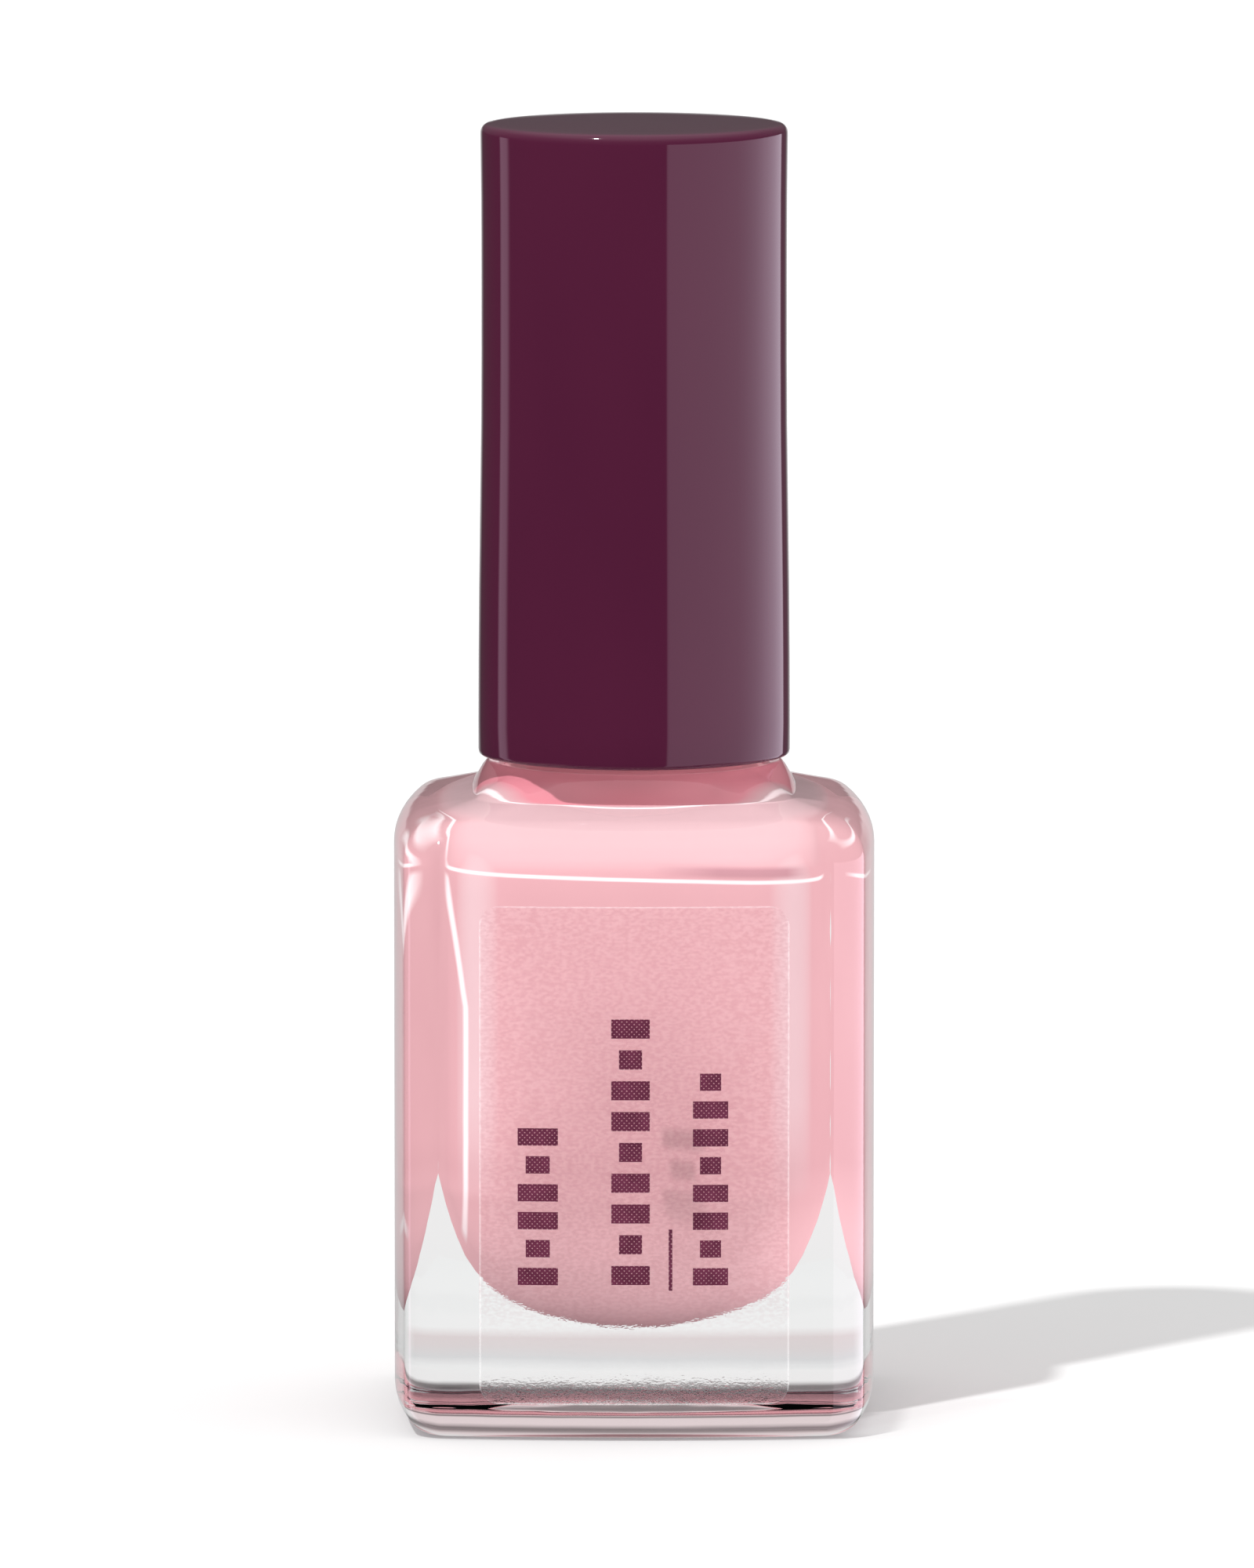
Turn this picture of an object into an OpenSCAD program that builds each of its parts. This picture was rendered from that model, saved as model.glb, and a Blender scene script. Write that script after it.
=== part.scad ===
// Square glass bottle of nail lacquer with a tall round screw cap and a brush.
// Millimetres, +Z up, the base stands on Z = 0, the label faces -Y, the cap is on the Z axis.
// Turning the cap anticlockwise, seen from above, lifts it by one thread pitch a turn.

/* [Glass body] */
// Width of the glass body from side to side
body_w = 29; // [24:0.5:36]
// Depth of the glass body from front to back
body_d = 28; // [24:0.5:36]
// Height of the top of the shoulder, where the collar starts
body_h = 37.9; // [30:0.1:48]
// How far the middle of each side stands out beyond its ends
side_bulge = 1.1; // [0.6:0.1:1.6]
// Radius of the four upright corners
corner_r = 2.4; // [1.8:0.1:3]
// Radius of the edge round the base
heel_r = 2.0; // [1.2:0.1:2.6]
// Radius of the edge where the walls turn into the shoulder
shoulder_r = 2.6; // [1.8:0.1:3.2]
// Rise of the shoulder for each millimetre inwards
shoulder_slope = 0.2; // [0.1:0.02:0.3]
// Thickness of the side walls
glass_wall = 3.4; // [2.4:0.1:3.6]
// Thickness of the glass under the middle of the lacquer
glass_base = 5.7; // [4:0.1:8]
// Radius of the four upright corners of the room inside
inner_corner_r = 5.0; // [3.5:0.1:6]
// How much higher the inside floor is at its rim than at its middle
floor_rise = 3.6; // [1:0.1:4.5]
// How far the bowl turns up further where it meets the walls
floor_turn_up = 5.5; // [0:0.1:7]

/* [Neck] */
// Diameter of the neck at the root of its thread
neck_root_d = 13.2; // [11:0.1:16]
// Diameter of the hole through the neck
neck_bore_d = 7.4; // [6.6:0.1:8.4]
// Thickness of the glass in the collar
collar_wall = 2.6; // [2:0.1:3.4]
// Height of the neck above the collar
neck_h = 12.4; // [11:0.1:15]
// Height of the clear collar under the cap
collar_h = 1.7; // [1.2:0.1:2.4]
// Height of one turn of the thread
thread_pitch = 2.117; // [2.0:0.001:2.6]
// How far the thread stands out from the neck
thread_depth = 0.75; // [0.6:0.01:0.9]

/* [Cap] */
// Thickness of the cap from the root of the neck thread to its outside
closure_t = 2.8; // [2.7:0.05:3.6]
// Height of the cap
cap_h = 38.1; // [30:0.1:46]
// How much smaller the cap's diameter is at the top
cap_draft = 0.4; // [0:0.05:0.8]
// Thickness of the top of the cap
cap_top_t = 1.4; // [1:0.1:2.5]
// Thickness of the sealing disc
liner_t = 0.8; // [0.6:0.1:1.2]

/* [Brush] */
// Diameter of the brush stem
stem_d = 3.2; // [2.8:0.1:3.8]
// Free length of the tuft below the stem
tuft_len = 14.5; // [10:0.5:18]
// Diameter of one bundle of bristles
bristle_d = 0.4; // [0.3:0.01:0.44]
// Room left between the tuft and the glass floor
tip_room = 1.4; // [1:0.1:3]

/* [Contents] */
// Depth of lacquer above the top of the shoulder
fill_over = 2.6; // [0.5:0.1:6]
// Diameter of each steel mixing ball
ball_d = 4.0; // [3:0.1:5]

/* [Label] */
// Bare glass at each side of the label
label_side = 5.25; // [4:0.05:7]
// Bare glass between the table and the label
label_low = 2.3; // [2.1:0.1:5]
// Bare glass between the label and the top of the shoulder
label_high = 5.6; // [3.4:0.1:6]
// Thickness of the clear film
label_t = 0.1; // [0.05:0.01:0.2]
// Film left bare at the left and right of the print
print_side = 2.3; // [1:0.1:3]
// Film left bare below the print
print_low = 6.9; // [3:0.1:8]
// Width of the widest row of print
row_w = 2.4; // [1.5:0.1:2.6]
// Length of the left row of print
left_row_l = 10.1; // [6:0.1:12]
// Length of the middle row of print
middle_row_l = 16.7; // [10:0.1:18]
// Length of the right row of print
right_row_l = 13.4; // [8:0.1:16]

/* [Hidden] */

$fn = 96;
overlap = 0.5;

// Clearances
seat_gap = 0.05;
press_gap = 0.02;
cap_gap = 0.3;
thread_gap = 0.25;
flank_gap = 0.2;
fill_gap = 0.05;
film_gap = 0.01;
ball_gap = 0.12;

// Heights
half_w = body_w / 2;
half_d = body_d / 2;
collar_top = body_h + collar_h;
cap_bottom = collar_top + cap_gap;
cap_top = cap_bottom + cap_h;
rim_z = collar_top + neck_h;
liner_z = rim_z + seat_gap;
roof_z = liner_z + liner_t + seat_gap;
roof_t = 1.4;
fill_z = body_h + fill_over;
tip_z = glass_base + tip_room;
stem_z = tip_z + tuft_len;

// Radii about the cap's axis
root_r = neck_root_d / 2;
crest_r = root_r + thread_depth;
bore_r = neck_bore_d / 2;
cap_r = root_r + closure_t;
nut_r = crest_r + thread_gap;
nut_crest_r = root_r + thread_gap;
shell_t = 0.95;
shell_in_r = cap_r - cap_draft / 2 - shell_t;
insert_r = shell_in_r - press_gap;
collar_base_half = cap_r + 0.35;
collar_top_r = cap_r - 0.45;

// Thread steps
steps_a_turn = 16;
step_deg = 360 / steps_a_turn;
step_lap_deg = 1;
ridge_root_t = 1.0;
ridge_crest_t = 0.6;
nut_root_t = 0.9;
nut_crest_t = 0.5;
neck_thread_steps = 24;
nut_thread_steps = 20;
engaged_r = nut_crest_r;
ridge_there = ridge_root_t - (ridge_root_t - ridge_crest_t) * thread_gap / thread_depth;
ridge_to_nut = (ridge_there + nut_crest_t) / 2 + flank_gap;
neck_thread_z = rim_z - 1.7 - thread_pitch * neck_thread_steps / steps_a_turn;

// Bristles and their staple
bristle_rings = 2;
bristle_space = bristle_d + 0.02;
tuft_r = bristle_rings * bristle_space + bristle_d / 2;
socket_r = tuft_r + seat_gap;
socket_h = 3.5;
tuft_taper = 1.6;
stem_tip_r = stem_d / 2 - 0.1;
stem_flange_r = bore_r - 1.1;
stem_flange_t = 1.2;
stem_top = roof_z + roof_t + 5.2;
boss_r = stem_d / 2 + 1.6;
staple_h = 0.6;
staple_t = 0.25;
staple_half = socket_r + 0.2;
staple_z = stem_z + socket_h - staple_h - 0.1;
channel_r = stem_d / 2 + 0.4;
base_recess = 0.5;
base_recess_r = min(half_w, half_d) - heel_r - 2.4;

// Print on the label: rows of plain marks that run up the film
label_w = body_w - 2 * label_side;
label_h = body_h - label_low - label_high;
label_corner_r = 1.2;
ink_t = 0.03;
row_foot = label_low + print_low;
rule_w = 0.22;
rule_l = 3.7;
left_row_x = print_side + row_w / 2 - label_w / 2;
right_row_x = label_w / 2 - print_side - row_w;
middle_row_x = -rule_w;
rule_x = (middle_row_x + right_row_x) / 2;

// Radius of the circle that bulges by `rise` over a chord of half length `half`
function bulge_radius(half, rise) = (half * half + rise * rise) / (2 * rise);

// Centre of a corner circle that is tangent to both neighbouring side circles, found in `n` rounds
function corner_centre(c, hx, hy, rx, ry, r, n) = n == 0 ? c
    : let (y = sqrt((ry - r) * (ry - r) - c[0] * c[0]) - (ry - hy))
      let (x = sqrt((rx - r) * (rx - r) - y * y) - (rx - hx))
      corner_centre([x, y], hx, hy, rx, ry, r, n - 1);

function arc_points(c, r, a0, a1, n) =
    [for (i = [0:n]) let (a = a0 + (a1 - a0) * i / n) [c[0] + r * cos(a), c[1] + r * sin(a)]];

// Seen from above: a square with bulging sides and rounded corners
module bulged_square(hx, hy, bulge, r) {
    ry = bulge_radius(hx, bulge);
    rx = bulge_radius(hy, bulge);
    c = corner_centre([hx - r, hy - r], hx, hy, rx, ry, r, 8);
    a_low = atan(c[1] / (c[0] + rx - hx));
    a_high = 90 - atan(c[0] / (c[1] + ry - hy));
    arc = arc_points(c, r, a_low, a_high, 4);
    cutter = concat([arc[0] + (arc[0] - arc[1])], [arc[1], arc[2], arc[3]],
        [arc[4] + (arc[4] - arc[3])], [[hx + 1, hy + 1]]);
    difference() {
        intersection() {
            translate([0, ry - hy]) circle(r = ry);
            translate([0, hy - ry]) circle(r = ry);
            translate([rx - hx, 0]) circle(r = rx);
            translate([hx - rx, 0]) circle(r = rx);
            square([3 * hx, 3 * hy], center = true);
        }
        for (mx = [0, 1]) {
            for (my = [0, 1]) {
                mirror([mx, 0]) mirror([0, my]) polygon(cutter);
            }
        }
    }
}

// Seen from one side: heel, straight wall, rounded shoulder edge and sloping shoulder
function side_outline(half) =
    let (slope = atan(shoulder_slope))
    let (inward = shoulder_r * tan((90 - slope) / 2))
    let (edge_z = body_h - shoulder_slope * (half - collar_base_half))
    let (right = concat(arc_points([half - heel_r, heel_r], heel_r, -90, 0, 5),
        arc_points([half - shoulder_r, edge_z - inward], shoulder_r, 0, 90 - slope, 5),
        [[0, body_h + shoulder_slope * collar_base_half]]))
    let (n = len(right))
    concat(right, [for (i = [1:n - 1]) [-right[n - 1 - i][0], right[n - 1 - i][1]]]);

module glass_block() {
    intersection() {
        linear_extrude(body_h + 3 * overlap) bulged_square(half_w, half_d, side_bulge, corner_r);
        rotate([90, 0, 0]) linear_extrude(2 * body_d, center = true) polygon(side_outline(half_w));
        rotate([90, 0, 90]) linear_extrude(2 * body_w, center = true) polygon(side_outline(half_d));
        cylinder(r = body_w + body_d, h = body_h);
    }
}

module collar() {
    foot_z = body_h - 3 * overlap;
    intersection() {
        translate([0, 0, foot_z])
            cylinder(r1 = collar_base_half * 1.12, r2 = collar_top_r, h = collar_top - foot_z);
        translate([0, 0, foot_z + collar_h])
            cube([2 * collar_base_half, 2 * collar_base_half, 4 * collar_h], center = true);
    }
}

// A thread ridge as short steps round the axis; `root` and `crest` are [radius, thickness]
module thread_steps(root, crest, foot_z, first_deg, count) {
    for (i = [0:count - 1]) {
        translate([0, 0, foot_z + thread_pitch * (i + 0.5) / steps_a_turn])
            rotate([0, 0, first_deg + i * step_deg])
                rotate_extrude(angle = step_deg + step_lap_deg)
                    polygon([[root[0], -root[1] / 2], [crest[0], -crest[1] / 2],
                        [crest[0], crest[1] / 2], [root[0], root[1] / 2]]);
    }
}

module neck() {
    chamfer = 0.5;
    rotate_extrude()
        polygon([[0, body_h - overlap], [root_r, body_h - overlap], [root_r, rim_z - chamfer],
            [root_r - chamfer, rim_z], [0, rim_z]]);
    thread_steps([root_r - 0.1, ridge_root_t], [crest_r, ridge_crest_t], neck_thread_z, 0,
        neck_thread_steps);
}

// Height of the bowl's floor at `out` from the middle, where the wall stands at `wall_x`
function floor_height(out, wall_x) =
    let (share = min(out / wall_x, 1))
    glass_base + floor_rise * pow(share, 2) + floor_turn_up * pow(share, 9);

// The room inside the bottle, drawn `gap` smaller all round
module cavity(gap) {
    floor_r = sqrt(half_w * half_w + half_d * half_d);
    floor_n = 16;
    shoulder_wall = 2.2;
    roof_out = body_h - shoulder_wall - shoulder_slope * (half_w - collar_base_half) - gap;
    hx = half_w - glass_wall - gap;
    hy = half_d - glass_wall - gap;
    throat_r = collar_top_r - collar_wall - gap;
    floor_line = [for (i = [0:floor_n]) let (out = floor_r * i / floor_n)
        [out, floor_height(out, hx) + gap]];
    intersection() {
        translate([0, 0, glass_base - overlap])
            linear_extrude(rim_z + 2 * overlap - glass_base)
                bulged_square(hx, hy, side_bulge * 0.8, inner_corner_r);
        rotate_extrude()
            polygon(concat(floor_line, [[floor_r, roof_out - 2.4], [hx - 1.2, roof_out - 0.5],
                [throat_r + 1.6, body_h - 1.1 - gap], [throat_r, body_h - 0.3],
                [throat_r, collar_top - 1.2], [bore_r - gap, collar_top + 1.2],
                [bore_r - gap, rim_z + overlap], [0, rim_z + overlap]]));
    }
}

module glass_bottle() {
    color([0.85, 0.9, 0.92, 0.35])
        difference() {
            union() {
                glass_block();
                collar();
                neck();
            }
            cavity(0);
            translate([0, 0, -overlap])
                cylinder(r1 = base_recess_r + overlap, r2 = base_recess_r, h = base_recess + overlap);
        }
}

function ball_place(side) =
    let (out = tuft_r + ball_d / 2 + 0.3)
    [side * out, 0, floor_height(out, half_w - glass_wall) + ball_d / 2 + ball_gap];

module mixing_balls() {
    color([0.75, 0.76, 0.78])
        for (side = [-1, 1]) {
            translate(ball_place(side)) sphere(d = ball_d);
        }
}

module lacquer_fill() {
    color([0.94, 0.7, 0.74])
        difference() {
            intersection() {
                cavity(fill_gap);
                cylinder(r = body_w + body_d, h = fill_z);
            }
            translate([0, 0, tip_z - 0.5]) cylinder(r = channel_r, h = fill_z);
            for (side = [-1, 1]) {
                translate(ball_place(side)) sphere(d = ball_d + 2 * fill_gap);
            }
        }
}

// A skin that follows the bulging front from `low` to `high` above the glass
module front_skin(low, high) {
    ry = bulge_radius(half_w, side_bulge);
    intersection() {
        translate([0, ry - half_d, 0])
            difference() {
                cylinder(r = ry + high, h = body_h);
                translate([0, 0, -overlap]) cylinder(r = ry + low, h = body_h + 2 * overlap);
            }
        rotate([90, 0, 0]) linear_extrude(2 * half_d) children();
    }
}

module rounded_rectangle(w, h, r) {
    square([w, h - 2 * r], center = true);
    square([w - 2 * r, h], center = true);
    for (sx = [-1, 1]) {
        for (sy = [-1, 1]) {
            translate([sx * (w / 2 - r), sy * (h / 2 - r)]) circle(r = r);
        }
    }
}

module front_label() {
    color([0.95, 0.95, 0.97, 0.3])
        front_skin(film_gap, film_gap + label_t)
            translate([0, label_low + label_h / 2])
                rounded_rectangle(label_w, label_h, label_corner_r);
}

// A row of `count` plain marks, `wide` across, centred at `x`, evenly spaced over `length`
module mark_row(x, wide, length, count) {
    space = length / count;
    for (i = [0:count - 1]) {
        translate([x, row_foot + space * (i + 0.5)])
            square([i % 3 == 1 ? wide * 0.6 : wide, space * 0.62], center = true);
    }
}

module label_print() {
    color([0.36, 0.08, 0.2])
        front_skin(2 * film_gap + label_t, 2 * film_gap + label_t + ink_t) {
            mark_row(left_row_x, row_w, left_row_l, 6);
            mark_row(middle_row_x, row_w - 0.1, middle_row_l, 9);
            mark_row(right_row_x, row_w - 0.3, right_row_l, 8);
            translate([rule_x, row_foot + rule_l / 2]) square([rule_w, rule_l], center = true);
        }
}

module base_label() {
    color([0.93, 0.92, 0.9])
        translate([0, 0, base_recess - press_gap - label_t])
            cylinder(r = base_recess_r - 0.9, h = label_t);
}

module cap_shell() {
    edge = 0.5;
    bead_z = cap_bottom + 3;
    in_top = cap_top - cap_top_t;
    color([0.28, 0.06, 0.17]) {
        difference() {
            rotate_extrude()
                polygon(concat([[0, cap_bottom], [cap_r - 0.25, cap_bottom], [cap_r, cap_bottom + 0.25]],
                    arc_points([cap_r - cap_draft / 2 - edge, cap_top - edge], edge, 0, 90, 4),
                    [[0, cap_top]]));
            translate([0, 0, cap_bottom - overlap])
                cylinder(r = shell_in_r, h = in_top - cap_bottom + overlap);
            translate([0, 0, bead_z]) snap_bead(press_gap);
        }
        for (a = [0:60:300]) {
            rotate([0, 0, a])
                translate([shell_in_r - 1.3, -0.5, roof_z + roof_t + seat_gap])
                    cube([1.3 + shell_t / 2, 1, in_top - roof_z - roof_t - seat_gap + overlap]);
        }
    }
}

// The ring that snaps the insert into the shell
module snap_bead(gap) {
    rotate_extrude()
        polygon([[insert_r - 0.3, -0.6 - gap], [insert_r, -0.6 - gap], [insert_r + 0.22 + gap, -0.2 - gap],
            [insert_r + 0.22 + gap, 0.2 + gap], [insert_r, 0.6 + gap], [insert_r - 0.3, 0.6 + gap]]);
}

module inner_cap() {
    skirt_z = cap_bottom + 0.4;
    above = roof_z + roof_t;
    color([0.9, 0.89, 0.87]) {
        difference() {
            union() {
                translate([0, 0, skirt_z]) cylinder(r = insert_r, h = above - skirt_z);
                translate([0, 0, cap_bottom + 3]) snap_bead(0);
                translate([0, 0, roof_z]) cylinder(r = boss_r, h = stem_top + 0.8 - roof_z);
            }
            translate([0, 0, skirt_z - overlap]) cylinder(r = nut_r, h = roof_z - skirt_z + overlap);
            translate([0, 0, skirt_z]) cylinder(r = stem_d / 2 + press_gap, h = stem_top + press_gap - skirt_z);
        }
        thread_steps([nut_r + 0.1, nut_root_t], [nut_crest_r, nut_crest_t],
            neck_thread_z - ridge_to_nut, 0, nut_thread_steps);
    }
}

module cap_liner() {
    color([0.97, 0.97, 0.95])
        translate([0, 0, liner_z])
            difference() {
                cylinder(r = nut_r - 0.15, h = liner_t);
                translate([0, 0, -overlap]) cylinder(r = stem_flange_r + 0.3, h = liner_t + 2 * overlap);
            }
}

module brush_stem() {
    color([0.16, 0.05, 0.1])
        difference() {
            union() {
                translate([0, 0, stem_z])
                    cylinder(r1 = stem_tip_r, r2 = stem_d / 2, h = roof_z - stem_flange_t - stem_z);
                translate([0, 0, roof_z - stem_flange_t - seat_gap])
                    cylinder(r = stem_flange_r, h = stem_flange_t);
                translate([0, 0, roof_z - stem_flange_t]) cylinder(d = stem_d, h = stem_top - roof_z + stem_flange_t);
            }
            translate([0, 0, stem_z - overlap]) cylinder(r = socket_r, h = socket_h + overlap);
            translate([0, 0, staple_z + staple_h / 2])
                cube([2 * (staple_half + press_gap), staple_t + 2 * press_gap, staple_h + 2 * press_gap],
                    center = true);
        }
}

module brush_staple() {
    color([0.72, 0.7, 0.66])
        translate([0, 0, staple_z + staple_h / 2])
            cube([2 * staple_half, staple_t, staple_h], center = true);
}

// Bundles of bristles stand in hexagonal rings, and the outer ring is cut shorter to round the tip
module bristles() {
    color([0.08, 0.08, 0.09])
        for (u = [-bristle_rings:bristle_rings]) {
            for (v = [max(-bristle_rings, -bristle_rings - u):min(bristle_rings, bristle_rings - u)]) {
                ring = max(abs(u), abs(v), abs(u + v));
                foot = tip_z + tuft_taper * pow(ring / bristle_rings, 2);
                translate([bristle_space * (u + v / 2), bristle_space * v * sqrt(3) / 2, foot])
                    cylinder(d = bristle_d, h = staple_z - 0.05 - foot);
            }
        }
}

glass_bottle();
lacquer_fill();
mixing_balls();
front_label();
label_print();
base_label();
cap_shell();
inner_cap();
cap_liner();
brush_stem();
brush_staple();
bristles();
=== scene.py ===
# %% [markdown]
# # A square bottle of nail lacquer, dressed for its picture
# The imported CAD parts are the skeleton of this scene. Each cell below builds one real piece, or mixes
# one real finish. All lengths are in metres, so a size in millimetres is multiplied by `MM`.

# %% Load the frame
import math
import random

import bpy
import numpy as np
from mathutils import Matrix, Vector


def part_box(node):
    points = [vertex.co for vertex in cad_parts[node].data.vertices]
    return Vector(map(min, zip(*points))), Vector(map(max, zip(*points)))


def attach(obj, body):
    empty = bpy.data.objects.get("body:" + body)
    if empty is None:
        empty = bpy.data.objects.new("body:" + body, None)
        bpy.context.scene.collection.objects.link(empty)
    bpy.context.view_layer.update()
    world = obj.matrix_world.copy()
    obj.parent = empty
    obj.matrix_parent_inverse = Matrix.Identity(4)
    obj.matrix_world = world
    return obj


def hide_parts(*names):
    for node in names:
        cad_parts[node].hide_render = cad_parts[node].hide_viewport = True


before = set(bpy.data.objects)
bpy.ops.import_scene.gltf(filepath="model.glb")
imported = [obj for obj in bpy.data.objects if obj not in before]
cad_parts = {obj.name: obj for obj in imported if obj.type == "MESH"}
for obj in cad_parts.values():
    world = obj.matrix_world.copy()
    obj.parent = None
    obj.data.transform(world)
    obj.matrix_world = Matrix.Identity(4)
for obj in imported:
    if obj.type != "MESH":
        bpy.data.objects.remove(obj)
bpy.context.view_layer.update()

MM = 0.001

# %% [markdown]
# ## The camera
# A small object is pictured from about a metre away with a long lens, so its sides stay parallel.
# The camera looks a few degrees down, just enough to see the top of the cap and the bottle's shoulder.

# %% Camera
BACK_OFF = 0.985
LOOK_DOWN = math.radians(6.8)
AIM_X, AIM_Z = -0.43 * MM, 38.0 * MM
LENS_MM = 374.6

camera_data = bpy.data.cameras.new("camera")
camera_data.lens = LENS_MM
camera_data.sensor_width = 36.0
camera_data.clip_start = 0.05
camera_data.clip_end = 20.0
camera = bpy.data.objects.new("camera", camera_data)
camera.location = (AIM_X, -BACK_OFF * math.cos(LOOK_DOWN), AIM_Z + BACK_OFF * math.sin(LOOK_DOWN))
camera.rotation_euler = (math.pi / 2 - LOOK_DOWN, 0.0, 0.0)
bpy.context.scene.collection.objects.link(camera)
bpy.context.scene.camera = camera
print("camera at", [round(c, 4) for c in camera.location])

# %% [markdown]
# ## Helpers for meshes
# Nearly every piece here is a stack of rings: each ring is a closed line of points, and the skin
# between two rings is a strip of four-sided faces. A ring of one point closes an end.
# Walking the rings from inside the base, up the outside and down the inside gives a closed wall.

# %% Rings into a mesh
def new_piece(name, verts, faces, smooth=True):
    mesh = bpy.data.meshes.new(name)
    mesh.from_pydata([tuple(float(c) for c in v) for v in verts], [], faces)
    mesh.update()
    if smooth:
        mesh.polygons.foreach_set("use_smooth", [True] * len(mesh.polygons))
    piece = bpy.data.objects.new(name, mesh)
    bpy.context.scene.collection.objects.link(piece)
    return piece


def skin_of_rings(name, rings):
    """Rings in mm, bottom to top; a ring with one row is a closing point."""
    verts, faces, starts = [], [], []
    for ring in rings:
        starts.append(len(verts))
        verts.extend(np.atleast_2d(ring) * MM)
    for a, b, low, high in zip(starts, starts[1:], rings, rings[1:]):
        n_low, n_high = len(np.atleast_2d(low)), len(np.atleast_2d(high))
        n = max(n_low, n_high)
        for k in range(n):
            j = (k + 1) % n
            if n_low == 1:
                faces.append((a, b + j, b + k))
            elif n_high == 1:
                faces.append((a + k, a + j, b))
            else:
                faces.append((a + k, a + j, b + j, b + k))
    return new_piece(name, verts, faces)


def turned(outline, columns=128, spread=None):
    """Rings of a turned shape from (radius, height) pairs; `spread(angle, height)` adds to the radius."""
    angles = np.arange(columns) * 2 * math.pi / columns
    rings = []
    for radius, height in outline:
        if radius == 0:
            rings.append(np.array([[0.0, 0.0, height]]))
            continue
        r = np.full(columns, float(radius))
        if spread is not None:
            r = r + spread(angles, height)
        rings.append(np.stack([r * np.cos(angles), r * np.sin(angles), np.full(columns, height)], 1))
    return rings


def rounded_corner(before, corner, after, radius, steps=5):
    """Replaces a corner of an outline by a short curve that leaves it `radius` away on both sides."""
    before, corner, after = (np.array(p, float) for p in (before, corner, after))
    start = corner + (before - corner) / np.linalg.norm(before - corner) * radius
    end = corner + (after - corner) / np.linalg.norm(after - corner) * radius
    curve = []
    for i in range(steps + 1):
        t = i / steps
        curve.append(tuple((1 - t) ** 2 * start + 2 * t * (1 - t) * corner + t ** 2 * end))
    return curve


def softened(outline, radii, steps=5):
    """An outline with some of its corners rounded: `radii` maps a point's number to its radius."""
    soft = []
    for i, point in enumerate(outline):
        if i in radii:
            soft += rounded_corner(outline[i - 1], point, outline[i + 1], radii[i], steps)
        else:
            soft.append(tuple(point))
    return soft

# %% [markdown]
# ## Helpers for materials
# A finish is a small graph of nodes. `new_finish` starts one with its Principled shader,
# and the other helpers add noise and bump, the two things that stop a surface from looking like plastic clay.

# %% Nodes for finishes
def new_finish(name):
    finish = bpy.data.materials.new(name)
    finish.use_nodes = True
    tree = finish.node_tree
    return finish, tree, tree.nodes["Principled BSDF"]


def add_node(tree, kind, **settings):
    node = tree.nodes.new(kind)
    for key, value in settings.items():
        if key in node.inputs:
            node.inputs[key].default_value = value
        else:
            setattr(node, key, value)
    return node


def noise_at(tree, scale, detail=3.0, roughness=0.5, stretch=(1.0, 1.0, 1.0)):
    """Noise measured in the object's own space, so that it rides with the piece."""
    place = add_node(tree, "ShaderNodeTexCoord")
    turn = add_node(tree, "ShaderNodeMapping")
    turn.inputs["Scale"].default_value = stretch
    noise = add_node(tree, "ShaderNodeTexNoise")
    noise.inputs["Scale"].default_value = scale
    noise.inputs["Detail"].default_value = detail
    noise.inputs["Roughness"].default_value = roughness
    tree.links.new(place.outputs["Object"], turn.inputs["Vector"])
    tree.links.new(turn.outputs["Vector"], noise.inputs["Vector"])
    return noise.outputs["Fac"]


def mapped(tree, value, low, high, from_low=0.3, from_high=0.7):
    node = add_node(tree, "ShaderNodeMapRange")
    node.inputs["From Min"].default_value = from_low
    node.inputs["From Max"].default_value = from_high
    node.inputs["To Min"].default_value = low
    node.inputs["To Max"].default_value = high
    tree.links.new(value, node.inputs["Value"])
    return node.outputs["Result"]


def two_tones(tree, value, dark, light, low=0.3, high=0.7):
    ramp = add_node(tree, "ShaderNodeValToRGB")
    ramp.color_ramp.elements[0].position = low
    ramp.color_ramp.elements[0].color = (*dark, 1)
    ramp.color_ramp.elements[1].position = high
    ramp.color_ramp.elements[1].color = (*light, 1)
    tree.links.new(value, ramp.inputs["Fac"])
    return ramp.outputs["Color"]


def colour_bands(tree, value, stops):
    """A colour ramp from (place, colour) pairs."""
    ramp = add_node(tree, "ShaderNodeValToRGB")
    elements = ramp.color_ramp.elements
    elements[0].position, elements[0].color = stops[0][0], (*stops[0][1], 1)
    elements[1].position, elements[1].color = stops[-1][0], (*stops[-1][1], 1)
    for place, colour in stops[1:-1]:
        stop = elements.new(place)
        stop.color = (*colour, 1)
    tree.links.new(value, ramp.inputs["Fac"])
    return ramp.outputs["Color"]


def grey(value):
    return (value, value, value)


def bump_from(tree, value, height, strength=1.0):
    """A bump of `height` metres from a value between 0 and 1."""
    bump = add_node(tree, "ShaderNodeBump")
    bump.inputs["Strength"].default_value = strength
    bump.inputs["Distance"].default_value = height
    tree.links.new(value, bump.inputs["Height"])
    return bump.outputs["Normal"]


def math_node(tree, operation, first, second=None):
    node = add_node(tree, "ShaderNodeMath", operation=operation)
    for socket, value in zip(node.inputs, (first, second)):
        if value is None:
            continue
        if isinstance(value, (int, float)):
            socket.default_value = value
        else:
            tree.links.new(value, socket)
    return node.outputs[0]


def place_in_mm(tree):
    """The piece's own x, y and z in millimetres, as three values."""
    place = add_node(tree, "ShaderNodeTexCoord")
    split = add_node(tree, "ShaderNodeSeparateXYZ")
    tree.links.new(place.outputs["Object"], split.inputs[0])
    return [math_node(tree, "DIVIDE", split.outputs[axis], MM) for axis in "XYZ"]


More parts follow.
